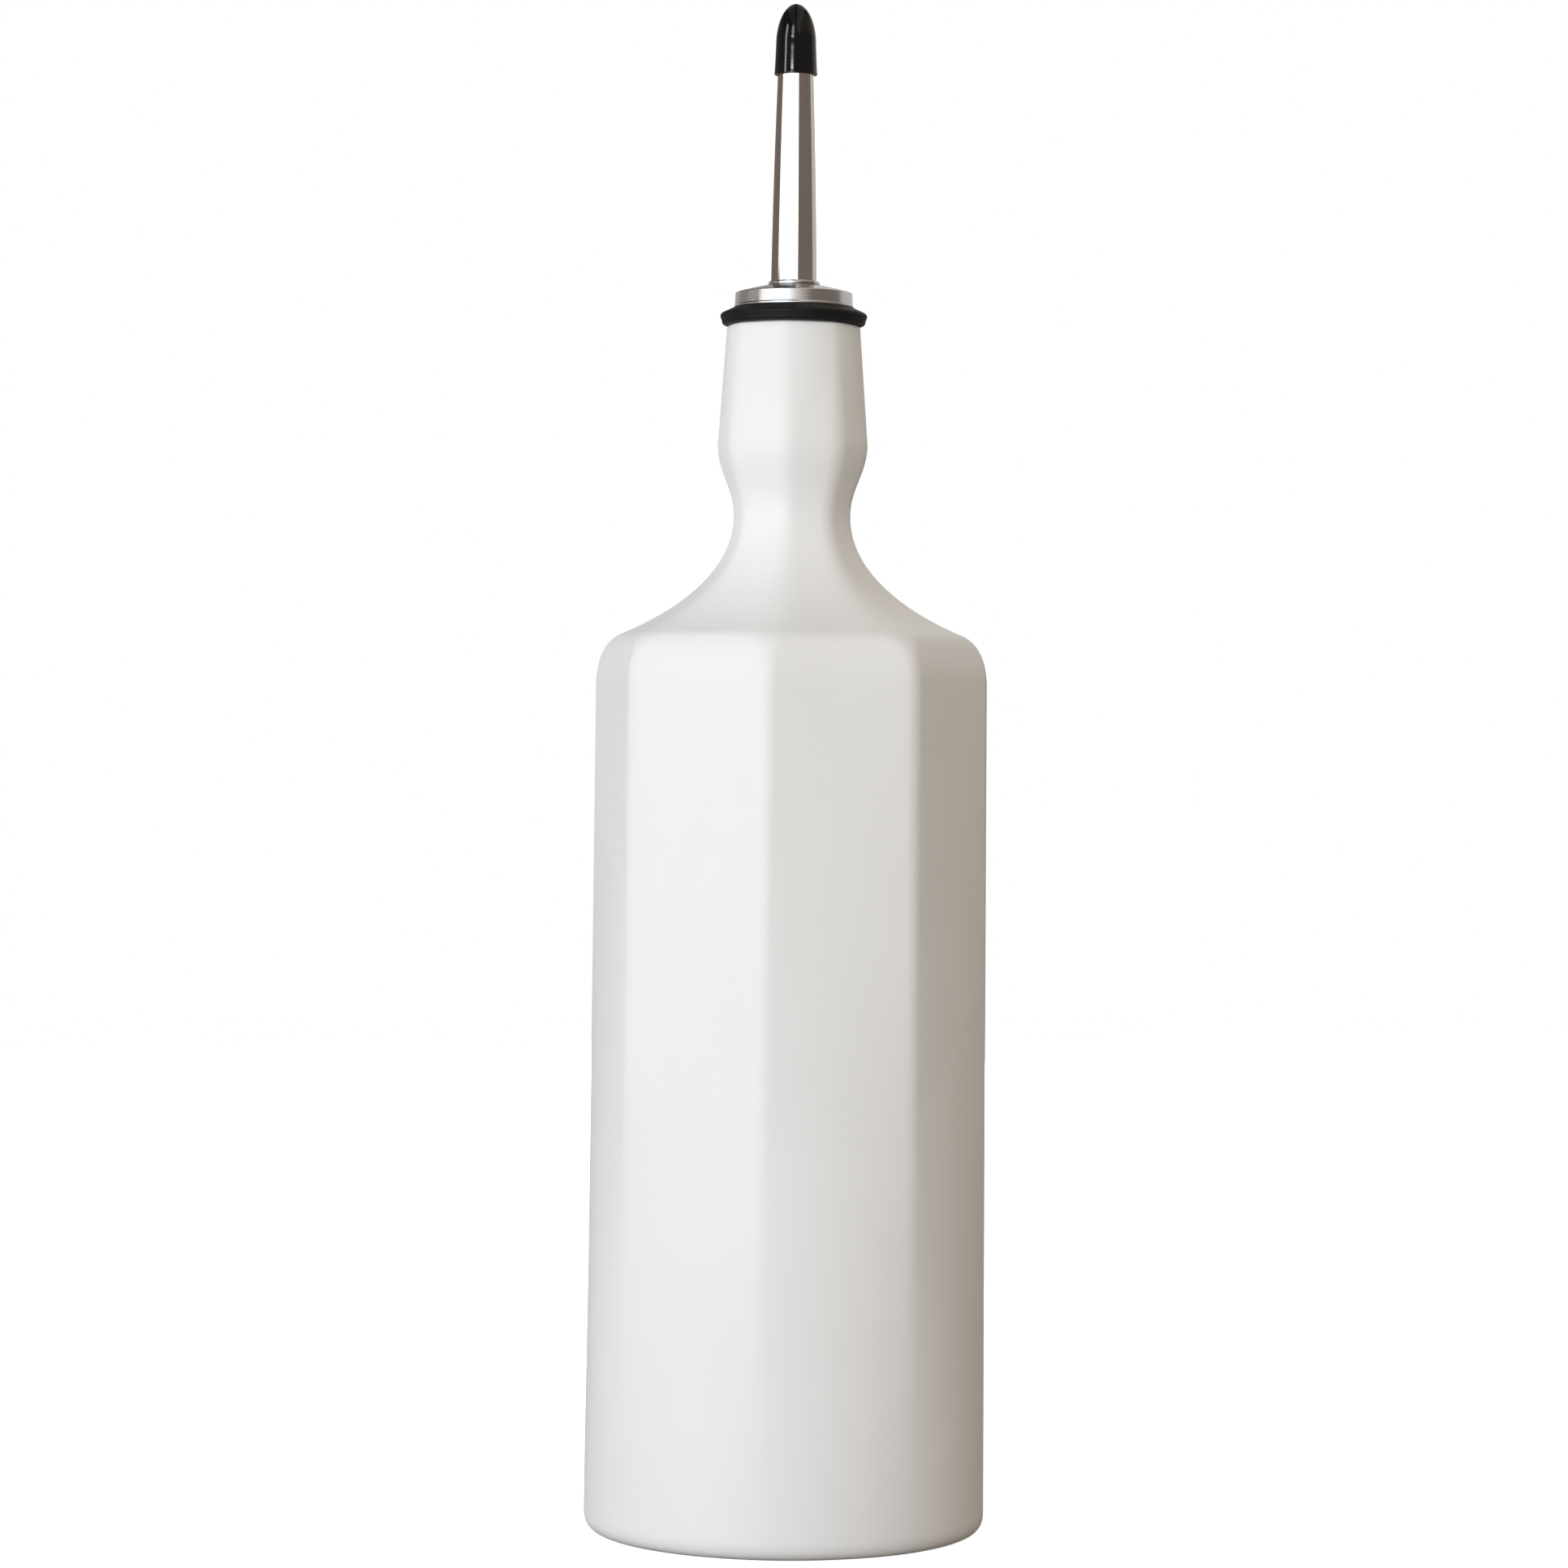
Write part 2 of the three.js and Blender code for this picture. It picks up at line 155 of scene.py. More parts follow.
# Fineness of the meshes
FACE_STEPS = 12
EDGE_STEPS = 12
CURVE_STEPS = 16
FILLET_STEPS = 5
DOME_STEPS = 40
ROUND_STEPS = 160
VENT_STEPS = 48
SPOUT_RINGS = 64
OUTSIDE_STEPS = {"side": 90, "fillet": 28, "shoulder": 56, "throat": 44, "barrel": 24}
INSIDE_STEPS = {"side": 24, "fillet": 10, "shoulder": 24, "throat": 16, "barrel": 8}
SHARP_ANGLE = math.radians(38)

# Heights that follow from the sizes above
waist_height = BODY_HEIGHT + SHOULDER_RISE
barrel_height = waist_height + THROAT_RISE
lip_height = barrel_height + BARREL_HEIGHT
bore_foot_height = lip_height - BORE_FOOT_DEPTH
skirt_top = SHELF_HEIGHT + COLLAR_SKIRT
collar_top = skirt_top + COLLAR_DOME
spout_tip = collar_top + SPOUT_LENGTH
cap_mouth = spout_tip - CAP_OVERLAP


def lerp(start, end, share):
    return start + (end - start) * share


def smoothstep(value, low, high):
    share = min(max((value - low) / (high - low), 0), 1)
    return share * share * (3 - 2 * share)


def at(radius, height):
    return Vector((radius, height))


def towards(start, end, distance):
    """The point that lies a distance from one point on the way to another."""
    return start + (end - start).normalized() * distance


def line(start, end, steps):
    return [start.lerp(end, step / steps) for step in range(steps + 1)]


def curve(controls, steps):
    """Points on a Bezier curve with any number of controls."""
    points = []
    for step in range(steps + 1):
        level = list(controls)
        while len(level) > 1:
            level = [a.lerp(b, step / steps) for a, b in zip(level, level[1:])]
        points.append(level[0])
    return points


def rounded(corners):
    """A closed outline from corners of radius, height and fillet."""
    outline = []
    for index, (radius, height, fillet) in enumerate(corners):
        point = at(radius, height)
        before = at(*corners[index - 1][:2])
        after = at(*corners[(index + 1) % len(corners)][:2])
        reach = min(fillet, (before - point).length / 2, (after - point).length / 2)
        if reach:
            ends = [towards(point, before, reach), point, towards(point, after, reach)]
            outline.extend(curve(ends, FILLET_STEPS))
        else:
            outline.append(point)
    return outline


def skinned(rings, foot=None, top=None, looped=False):
    """Points and faces over rings of equal length, with points on the axis or joined end to end."""
    count = len(rings[0])
    points = [point for ring in rings for point in ring]
    faces = []
    for level in range(len(rings) if looped else len(rings) - 1):
        low = level * count
        high = (level + 1) % len(rings) * count
        for step in range(count):
            after = (step + 1) % count
            faces.append((low + step, low + after, high + after, high + step))
    if foot is not None:
        points.append(foot)
        faces.extend((len(points) - 1, (step + 1) % count, step) for step in range(count))
    if top is not None:
        points.append(top)
        start = (len(rings) - 1) * count
        faces.extend(
            (len(points) - 1, start + step, start + (step + 1) % count) for step in range(count)
        )
    return points, faces


def circle(point, lift, steps=ROUND_STEPS, centre=(0, 0)):
    """A level ring through an outline point, raised by a height."""
    turns = [2 * math.pi * step / steps for step in range(steps)]
    return [
        Vector((
            centre[0] + point.x * math.cos(turn),
            centre[1] + point.x * math.sin(turn),
            point.y + lift,
        ))
        for turn in turns
    ]


def turned(outline, steps=ROUND_STEPS, centre=(0, 0)):
    """A solid ring turned about Z from a closed outline above the lip."""
    return skinned([circle(point, lip_height, steps, centre) for point in outline], looped=True)


def piece(name, node, body, shape, finishes, finish_of=None):
    """Makes a smooth mesh from points and faces in millimetres, in place of a node of the frame."""
    points, faces = shape
    mesh = bpy.data.meshes.new(name)
    mesh.from_pydata([point * MM for point in points], [], faces)
    for finish in finishes:
        mesh.materials.append(finish)
    mesh.polygons.foreach_set("use_smooth", [True] * len(mesh.polygons))
    if finish_of:
        mesh.polygons.foreach_set("material_index", [finish_of(face) for face in mesh.polygons])
    mesh.update()
    mesh.set_sharp_from_angle(angle=SHARP_ANGLE)
    made = bpy.data.objects.new(name, mesh)
    bpy.context.scene.collection.objects.link(made)
    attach(made, body)
    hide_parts(node)
    return made


# Half the angle of a facet
half_facet = math.pi / FACETS


def arc_points(facing, swing, centre, radius, steps, height):
    """Points on an arc, without its last, about a centre that stands off from the axis one way."""
    turns = [facing + swing * (2 * step / steps - 1) for step in range(steps)]
    return [
        Vector((
            centre * math.cos(facing) + radius * math.cos(turn),
            centre * math.sin(facing) + radius * math.sin(turn),
            height,
        ))
        for turn in turns
    ]


def faceted_ring(reach, height, roundness, edge_share):
    """One level of the bottle: bulging faces that meet in rounded edges at the given reach."""
    swing = half_facet * min(max(roundness, LEAST_ROUNDNESS), MOST_ROUNDNESS)
    edge_radius = reach * edge_share
    edge_centre = reach - edge_radius
    spare = edge_centre * math.sin(half_facet) / math.sin(swing)
    face_radius = edge_radius + spare
    face_centre = edge_centre * math.cos(half_facet) - spare * math.cos(swing)
    ring = []
    for facet in range(FACETS):
        facing = 2 * half_facet * facet
        corner = facing + half_facet
        ring += arc_points(facing, swing, face_centre, face_radius, FACE_STEPS, height)
        ring += arc_points(corner, half_facet - swing, edge_centre, edge_radius, EDGE_STEPS, height)
    return ring


# Turning points of the bottle's side
slope = at(-math.cos(SHOULDER_SLOPE), math.sin(SHOULDER_SLOPE))
side_foot = at(BASE_RADIUS, BASE_EDGE)
crease = at(SHOULDER_RADIUS, BODY_HEIGHT)
fillet_foot = towards(crease, side_foot, SHOULDER_FILLET_DROP)
fillet_top = crease + slope * SHOULDER_FILLET_RUN
waist = at(WAIST_RADIUS, waist_height)
barrel = at(BARREL_RADIUS, barrel_height)
lip_foot = at(LIP_RADIUS, lip_height - LIP_EDGE)


def side_line(steps):
    """The bottle's side from foot to lip, as the reach of its facet edges."""
    shoulder = [
        fillet_top,
        fillet_top + slope * SHOULDER_HANDLE,
        at(WAIST_RADIUS, waist_height - WAIST_HANDLE),
        waist,
    ]
    throat = [
        waist,
        at(WAIST_RADIUS, waist_height + THROAT_HANDLE),
        at(BARREL_RADIUS, barrel_height - THROAT_HANDLE),
        barrel,
    ]
    stretches = [
        line(side_foot, fillet_foot, steps["side"]),
        curve([fillet_foot, crease, fillet_top], steps["fillet"]),
        curve(shoulder, steps["shoulder"]),
        curve(throat, steps["throat"]),
        line(barrel, lip_foot, steps["barrel"]),
    ]
    return [side_foot] + [point for stretch in stretches for point in stretch[1:]]


def fade_at(height):
    """How much of the round foot's form is left at a height."""
    return max(1 - height / FACET_FADE_HEIGHT, 0)


def roundness_at(height):
    """How far the faces bulge out towards a round section at a height."""
    neck = NECK_ROUNDNESS * smoothstep(height, BODY_HEIGHT, waist_height)
    upper = lerp(neck, LIP_ROUNDNESS, smoothstep(height, barrel_height, lip_height))
    return max(fade_at(height) ** FACE_FADE_POWER, upper)


def edge_share_at(height):
    """The radius of the edges between the faces at a height, as a share of their reach."""
    body = lerp(BODY_EDGE_SHARE, BASE_EDGE_SHARE, fade_at(height) ** EDGE_FADE_POWER)
    soft_foot = BODY_HEIGHT - SHOULDER_EDGE_LEAD
    return lerp(body, NECK_EDGE_SHARE, smoothstep(height, soft_foot, soft_foot + SHOULDER_EDGE_RISE))


def outside_ring(point):
    return faceted_ring(point.x, point.y, roundness_at(point.y), edge_share_at(point.y))


def round_ring(reach, height):
    return faceted_ring(reach, height, 1, 1)


def inside_ring(point):
    """The inside keeps the wall's thickness, with rounder faces, and ends in a round bore."""
    height = point.y
    if height > bore_foot_height:
        return round_ring(NECK_BORE_RADIUS, height)
    rounding = smoothstep(height, BODY_HEIGHT, waist_height)
    reach = min(point.x, NECK_BORE_RADIUS) if height > waist_height else point.x
    roundness = max(lerp(roundness_at(height), 1, INSIDE_ROUNDNESS), rounding)
    return faceted_ring(reach, height, roundness, lerp(edge_share_at(height), 1, rounding))


def inset(points, distance):
    """An outline moved to its left by a distance, square to itself."""
    moved = []
    for index, point in enumerate(points):
        before = points[max(index - 1, 0)]
        after = points[min(index + 1, len(points) - 1)]
        along = (after - before).normalized()
        moved.append(at(point.x - distance * along.y, point.y + distance * along.x))
    return moved


def bottle_shape():
    foot_inside = BASE_RADIUS - BASE_EDGE - FOOT_WIDTH
    foot_outside = BASE_RADIUS - BASE_EDGE
    base_edge = curve([at(foot_outside, 0), at(BASE_RADIUS, 0), side_foot], CURVE_STEPS)
    lip_edge = [lip_foot, at(LIP_RADIUS, lip_height), at(LIP_RADIUS - LIP_EDGE, lip_height)]
    outside = [
        at(foot_inside - FOOT_RECESS, FOOT_RECESS),
        *line(at(foot_inside, 0), at(foot_outside, 0), FILLET_STEPS)[:-1],
        *base_edge[:-1],
        *side_line(OUTSIDE_STEPS),
        *curve(lip_edge, CURVE_STEPS)[1:],
    ]
    mouth = [
        at(NECK_BORE_RADIUS + MOUTH_EDGE, lip_height),
        at(NECK_BORE_RADIUS, lip_height),
        at(NECK_BORE_RADIUS, lip_height - MOUTH_EDGE),
    ]
    wall_top = FLOOR_THICKNESS + FLOOR_FILLET
    wall = inset(side_line(INSIDE_STEPS), WALL)
    inside = [point for point in wall if wall_top < point.y < lip_height - LIP_EDGE]
    floor_side = at(inside[0].x, wall_top)
    floor_edge = [
        floor_side,
        at(floor_side.x, FLOOR_THICKNESS),
        at(floor_side.x - FLOOR_FILLET, FLOOR_THICKNESS),
    ]
    rings = [outside_ring(point) for point in outside]
    rings += [round_ring(point.x, point.y) for point in curve(mouth, CURVE_STEPS)]
    rings += [inside_ring(point) for point in reversed(inside)]
    rings += [inside_ring(point) for point in curve(floor_edge, CURVE_STEPS)]
    return skinned(rings, foot=Vector((0, 0, FOOT_RECESS)), top=Vector((0, 0, FLOOR_THICKNESS)))


def stopper_shape():
    corners = [(STOPPER_BORE, -PLUG_LENGTH, RUBBER_EDGE), (PLUG_RADIUS, -PLUG_LENGTH, RUBBER_EDGE)]
    for fin in range(FIN_COUNT):
        root = -PLUG_LENGTH + PLUG_NOSE + fin * FIN_PITCH
        corners += [
            (PLUG_RADIUS, root, RUBBER_EDGE),
            (FIN_RADIUS, root + FIN_RISE, RUBBER_EDGE),
            (FIN_RADIUS, root + FIN_RISE + FIN_TIP, RUBBER_EDGE),
            (PLUG_RADIUS, root + FIN_RISE + FIN_TIP + FIN_BACK, RUBBER_EDGE),
        ]
    side = FLANGE_RADIUS - FLANGE_TAPER
    flange_foot = [at(FLANGE_FOOT_RADIUS, 0), at(side, 0), at(side, FLANGE_FOOT_EDGE)]
    corners += [
        (PLUG_RADIUS, 0, RUBBER_EDGE),
        *((point.x, point.y, 0) for point in curve(flange_foot, CURVE_STEPS)),
        (FLANGE_RADIUS, FLANGE_RIM_HEIGHT, FLANGE_EDGE),
        (COLLAR_RADIUS, SHELF_HEIGHT, RUBBER_EDGE),
        (BOSS_RADIUS, SHELF_HEIGHT, 0),
        (BOSS_RADIUS, BOSS_TOP, RUBBER_EDGE),
        (STOPPER_BORE, BOSS_TOP, RUBBER_EDGE),
    ]
    return turned(rounded(corners))


def collar_shape():
    side = COLLAR_RADIUS - COLLAR_BEAD
    rim = side - COLLAR_DRAFT
    dome_break = at(
        lerp(COLLAR_HOLE, rim, COLLAR_DOME_BREAK),
        lerp(skirt_top, collar_top, COLLAR_DOME_FULLNESS),
    )
    wall = at(0, STEEL_WALL)
    dome = curve([at(rim, skirt_top), dome_break, at(COLLAR_HOLE, collar_top)], CURVE_STEPS)
    ceiling_rim = at(rim - STEEL_WALL, skirt_top - STEEL_WALL)
    ceiling = curve([at(COLLAR_HOLE, collar_top) - wall, dome_break - wall, ceiling_rim], CURVE_STEPS)
    corners = [
        (COLLAR_RADIUS - COLLAR_BEAD - STEEL_WALL, SHELF_HEIGHT, STEEL_EDGE),
        (COLLAR_RADIUS, SHELF_HEIGHT, STEEL_EDGE),
        (COLLAR_RADIUS, SHELF_HEIGHT + COLLAR_BEAD_HEIGHT - COLLAR_BEAD, STEEL_EDGE),
        (side, SHELF_HEIGHT + COLLAR_BEAD_HEIGHT, STEEL_EDGE),
        (rim, skirt_top, STEEL_EDGE),
        *((point.x, point.y, 0) for point in dome[1:]),
        *((point.x, point.y, 0) for point in ceiling),
    ]
    return turned(rounded(corners))


def spout_ring_shape():
    outer = COLLAR_HOLE + RING_WIDTH
    middle = collar_top + RING_HEIGHT / 2
    crown = collar_top + RING_HEIGHT
    outline = [
        at(COLLAR_HOLE, collar_top),
        at(outer, collar_top),
        *curve([at(outer, middle), at(outer, crown), at(COLLAR_HOLE, crown)], CURVE_STEPS),
    ]
    return turned(outline)


def spout_radius(height):
    """The spout's outer radius narrows from foot to tip, with a slight swell between."""
    share = (height - collar_top) / SPOUT_LENGTH
    return lerp(SPOUT_FOOT_RADIUS, SPOUT_TIP_RADIUS, share) + 4 * SPOUT_SWELL * share * (1 - share)


def spout_shape():
    foot = collar_top - STEEL_WALL
    heights = [lerp(foot, spout_tip, step / SPOUT_RINGS) for step in range(SPOUT_RINGS + 1)]
    corners = [(spout_radius(height), height, 0) for height in heights[:-1]]
    corners.append((spout_radius(spout_tip), spout_tip, STEEL_EDGE))
    corners.append((spout_radius(spout_tip) - SPOUT_WALL, spout_tip, STEEL_EDGE))
    corners += [(spout_radius(height) - SPOUT_WALL, height, 0) for height in reversed(heights[:-1])]
    return turned(rounded(corners))


def shank_shape():
    bore = SHANK_RADIUS - STEEL_WALL
    foot = -PLUG_LENGTH - SHANK_TAIL
    flare_radius = SHANK_RADIUS + SHANK_FLARE
    flare_top = -PLUG_LENGTH - FIT_GAP
    corners = [
        (bore, foot, STEEL_WALL),
        (flare_radius, foot, STEEL_EDGE),
        (flare_radius, flare_top, STEEL_EDGE),
        (SHANK_RADIUS, flare_top, STEEL_EDGE),
        (SHANK_RADIUS, SHANK_TOP, STEEL_EDGE),
        (bore, SHANK_TOP, STEEL_EDGE),
    ]
    return turned(rounded(corners))


def vent_shape():
    low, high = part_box("vent_tube")
    foot = low.z / MM - lip_height
    top = high.z / MM - lip_height
    bore = VENT_RADIUS - VENT_WALL
    corners = [
        (bore, foot, VENT_EDGE),
        (VENT_RADIUS, foot, VENT_EDGE),
        (VENT_RADIUS, top, VENT_EDGE),
        (bore, top, VENT_EDGE),
    ]
    middle = (low + high) / 2 / MM
    return turned(rounded(corners), VENT_STEPS, centre=middle.xy)


def dome_line(radius, foot, rise):
    """The outline of a dome from its foot, without its top."""
    turns = [math.pi / 2 * step / DOME_STEPS for step in range(DOME_STEPS)]
    return [at(radius * math.cos(turn), foot + rise * math.sin(turn)) for turn in turns]


def cap_shape():
    def seat(height):
        return spout_radius(height) + CAP_GAP

    def wall(height):
        return seat(height) + CAP_WALL

    dome_foot = cap_mouth + CAP_SKIRT
    outer_top = dome_foot + CAP_DOME
    seat_top = spout_tip + CAP_GAP
    inner_rise = outer_top - CAP_TOP_WALL - seat_top
    inner = dome_line(seat(spout_tip), seat_top, inner_rise)
    outer = dome_line(wall(dome_foot), dome_foot, CAP_DOME)
    lip_radius = wall(cap_mouth) + CAP_BEAD
    lip_corner = at(lip_radius, cap_mouth)
    lip_edge = [at(lip_radius - CAP_EDGE, cap_mouth), lip_corner, at(lip_radius, cap_mouth + CAP_EDGE)]
    bead_top = cap_mouth + CAP_BEAD_HEIGHT
    bead = [at(lip_radius, bead_top / 2 + cap_mouth / 2), at(wall(bead_top), bead_top), outer[0]]
    outline = [
        *reversed(inner),
        at(seat(cap_mouth), cap_mouth),
        *curve(lip_edge, FILLET_STEPS),
        *curve(bead, CURVE_STEPS),
        *outer[1:],
    ]
    rings = [circle(point, lip_height) for point in outline]
    inner_top = Vector((0, 0, lip_height + seat_top + inner_rise))
    return skinned(rings, foot=inner_top, top=Vector((0, 0, lip_height + outer_top)))


# The span of noise that a finish spreads its colours and its roughness over
NOISE_LOW = 0.3
NOISE_HIGH = 0.7


class Finish:
    """A procedural material, with the nodes that vary its colour, gloss and relief."""

    def __init__(self, name, **constants):
        self.material = bpy.data.materials.new(name)
        self.material.use_nodes = True
        self.tree = self.material.node_tree
        self.shader = self.tree.nodes["Principled BSDF"]
        self.place = self.tree.nodes.new("ShaderNodeTexCoord").outputs["Object"]
        self.relief = None
        for socket, value in constants.items():
            self.shader.inputs[socket.replace("_", " ")].default_value = value

    def noise(self, cells, detail=3.0, stretch=(1, 1, 1), place=None):
        """Noise of so many cells to the metre, with a share of them along each axis."""
        spread = self.tree.nodes.new("ShaderNodeMapping")
        spread.inputs["Scale"].default_value = stretch
        self.tree.links.new(place or self.place, spread.inputs["Vector"])
        pattern = self.tree.nodes.new("ShaderNodeTexNoise")
        pattern.inputs["Scale"].default_value = cells
        pattern.inputs["Detail"].default_value = detail
        self.tree.links.new(spread.outputs["Vector"], pattern.inputs["Vector"])
        return pattern.outputs["Fac"]

    def turned_place(self):
        """Coordinates of radius and height, for marks that run round the axis."""
        split = self.tree.nodes.new("ShaderNodeSeparateXYZ")
        self.tree.links.new(self.place, split.inputs["Vector"])
        flat = self.tree.nodes.new("ShaderNodeCombineXYZ")
        self.tree.links.new(split.outputs["X"], flat.inputs["X"])
        self.tree.links.new(split.outputs["Y"], flat.inputs["Y"])
        radius = self.tree.nodes.new("ShaderNodeVectorMath")
        radius.operation = "LENGTH"
        self.tree.links.new(flat.outputs["Vector"], radius.inputs[0])
        place = self.tree.nodes.new("ShaderNodeCombineXYZ")
        self.tree.links.new(radius.outputs["Value"], place.inputs["X"])
        self.tree.links.new(split.outputs["Z"], place.inputs["Z"])
        return place.outputs["Vector"]

    def vary_colour(self, fac, dark, light):
        blend = self.tree.nodes.new("ShaderNodeValToRGB")
        for element, position, colour in zip(
            blend.color_ramp.elements, (NOISE_LOW, NOISE_HIGH), (dark, light)
        ):
            element.position = position
            element.color = (*colour, 1)
        self.tree.links.new(fac, blend.inputs["Fac"])
        self.tree.links.new(blend.outputs["Color"], self.shader.inputs["Base Color"])

    def vary_roughness(self, fac, low, high):
        spread = self.tree.nodes.new("ShaderNodeMapRange")
        spread.inputs["From Min"].default_value = NOISE_LOW
        spread.inputs["From Max"].default_value = NOISE_HIGH
        spread.inputs["To Min"].default_value = low
        spread.inputs["To Max"].default_value = high
        self.tree.links.new(fac, spread.inputs["Value"])
        self.tree.links.new(spread.outputs["Result"], self.shader.inputs["Roughness"])

    def add_relief(self, fac, depth):
        """Relief of so many millimetres, on top of what is there already."""
        bump = self.tree.nodes.new("ShaderNodeBump")
        bump.inputs["Strength"].default_value = 1
        bump.inputs["Distance"].default_value = depth * MM
        self.tree.links.new(fac, bump.inputs["Height"])
        if self.relief:
            self.tree.links.new(self.relief, bump.inputs["Normal"])
        self.relief = bump.outputs["Normal"]
        self.tree.links.new(self.relief, self.shader.inputs["Normal"])


def glaze():
    finish = Finish("satin_glaze", Specular_IOR_Level=0.3)
    cloud = finish.noise(cells=28)
    finish.vary_colour(cloud, dark=(0.800, 0.797, 0.788), light=(0.822, 0.820, 0.812))
    finish.vary_roughness(finish.noise(cells=45), low=0.4, high=0.46)
    finish.add_relief(finish.noise(cells=34, detail=1), depth=0.12)
    finish.add_relief(finish.noise(cells=900, detail=2), depth=0.004)
    return finish.material


# Bare clay of the unglazed foot, in a dark reddish brown that is partly painted reflection of the
# table along the bottom edge.
def bare_clay_and_painted_reflection():
    finish = Finish("bare_clay_and_painted_reflection", Specular_IOR_Level=0.25)
    grains = finish.noise(cells=900)
    # The brown of these colours is a painted reflection of the table, laid over the bare clay's own
    # tone.
    finish.vary_colour(grains, dark=(0.42, 0.32, 0.25), light=(0.52, 0.42, 0.34))
    finish.vary_roughness(finish.noise(cells=1500), low=0.75, high=0.92)
    finish.add_relief(finish.noise(cells=2600), depth=0.05)
    return finish.material


def black_rubber():
    finish = Finish("black_rubber", Specular_IOR_Level=0.18)
    bloom = finish.noise(cells=500)
    finish.vary_colour(bloom, dark=(0.007, 0.007, 0.0072), light=(0.010, 0.010, 0.0102))
    finish.vary_roughness(finish.noise(cells=700), low=0.46, high=0.6)
    finish.add_relief(finish.noise(cells=4200), depth=0.012)
    return finish.material


def polished_steel():
    finish = Finish("polished_steel", Metallic=1)
    streaks = finish.noise(cells=1800, stretch=(1, 1, 0.02))
    finish.vary_colour(streaks, dark=(0.575, 0.555, 0.53), light=(0.615, 0.595, 0.575))
    finish.vary_roughness(streaks, low=0.05, high=0.07)
    return finish.material


def turned_steel():
    finish = Finish("turned_steel", Metallic=1)
    lines = finish.noise(cells=6000, detail=2, place=finish.turned_place())
    finish.vary_colour(lines, dark=(0.525, 0.53, 0.53), light=(0.595, 0.60, 0.60))
    finish.vary_roughness(lines, low=0.2, high=0.26)
    return finish.material


def gloss_plastic():
    finish = Finish("gloss_plastic", Specular_IOR_Level=0.2)
    cloud = finish.noise(cells=260)
    finish.vary_colour(cloud, dark=(0.0135, 0.0139, 0.0143), light=(0.0155, 0.0159, 0.0163))
    finish.vary_roughness(finish.noise(cells=400), low=0.09, high=0.12)
    waves = finish.noise(cells=380, detail=0, stretch=(0.2, 0.2, 1))
    finish.add_relief(waves, depth=0.08)
    return finish.material


def build_pieces():
    glazed = glaze()
    foot_and_reflection = bare_clay_and_painted_reflection()
    rubber = black_rubber()
    polished = polished_steel()
    turned_finish = turned_steel()
    plastic = gloss_plastic()

    # Faces below the glaze line get the bare clay, whose dark brown is partly a painted reflection of
    # the table.
    def is_bare_with_painted_reflection(face):
        return int(face.center.z < GLAZE_AND_REFLECTION_LINE * MM)

    made = [
        piece(
            "glazed_bottle", "ceramic_bottle", "bottle",
            bottle_shape(), [glazed, foot_and_reflection], is_bare_with_painted_reflection,
        ),
        piece(
            "finned_stopper", "rubber_stopper", "stopper",
            stopper_shape(), [rubber],
        ),
        piece("domed_collar", "steel_collar", "spout", collar_shape(), [turned_finish]),
        piece("foot_ring", "spout_ring", "spout", spout_ring_shape(), [turned_finish]),
        piece("tapered_spout", "pour_spout", "spout", spout_shape(), [polished]),
        piece("flared_shank", "shank_tube", "spout", shank_shape(), [polished]),
        piece("air_tube", "vent_tube", "spout", vent_shape(), [polished]),
        piece("bullet_cap", "dust_cap", "cap", cap_shape(), [plastic]),
    ]
    return {one.name: one for one in made}


# Camera: its place in degrees and millimetres, and the horizon's and the axis's places in the picture
IMAGE_SIDE = 1932
FOCAL_PIXELS = 5665
SENSOR_WIDTH = 36
CAMERA_AZIMUTH = -15.5
CAMERA_DISTANCE = 935
CAMERA_HEIGHT = 159
HORIZON_ROW = 921
AXIS_COLUMN = 973
CAMERA_ROLL = math.radians(0.5)


def direction(azimuth):
    """Level direction from the bottle, in degrees from where a camera at azimuth 0 stands."""
    turn = math.radians(azimuth)
    return Vector((math.sin(turn), -math.cos(turn), 0))


def build_camera():
    data = bpy.data.cameras.new("camera")
    data.sensor_width = SENSOR_WIDTH
    data.lens = FOCAL_PIXELS / IMAGE_SIDE * SENSOR_WIDTH
    camera = bpy.data.objects.new("camera", data)
    bpy.context.scene.collection.objects.link(camera)
    pitch = math.atan((IMAGE_SIDE / 2 - HORIZON_ROW) / FOCAL_PIXELS)
    yaw = math.atan((AXIS_COLUMN - IMAGE_SIDE / 2) / FOCAL_PIXELS)
    place = direction(CAMERA_AZIMUTH) * CAMERA_DISTANCE + Vector((0, 0, CAMERA_HEIGHT))
    camera.matrix_world = (
        Matrix.Translation(place * MM)
        @ Matrix.Rotation(math.radians(CAMERA_AZIMUTH) + yaw, 4, "Z")
        @ Matrix.Rotation(math.pi / 2 - pitch, 4, "X")
        @ Matrix.Rotation(CAMERA_ROLL, 4, "Z")
    )
    bpy.context.scene.camera = camera


# Studio, in metres, with angles in degrees and azimuths counted from the camera to its right
LIGHT_TARGET = Vector((0, 0, 0.16))
LIGHT_DISTANCE = 1.35
FLOOR_SIDE = 3
FLOOR_GLOW = 0.88
FLOOR_COLOUR = (0.9, 0.9, 0.9, 1)
BACKDROP_COLOUR = (1, 1, 1, 1)
TABLE_COLOUR = (0.36, 0.33, 0.29, 1)
TABLE_DEPTH = 0.0005

# Spans of elevation that several lights fill
LOW_ROW = (-7, 11.5)
HIGH_ROW = (11.5, 25)
BOTH_ROWS = (-7, 25)
BACK_ROW = (-5, 30)
CEILING_ROW = (55, 85)

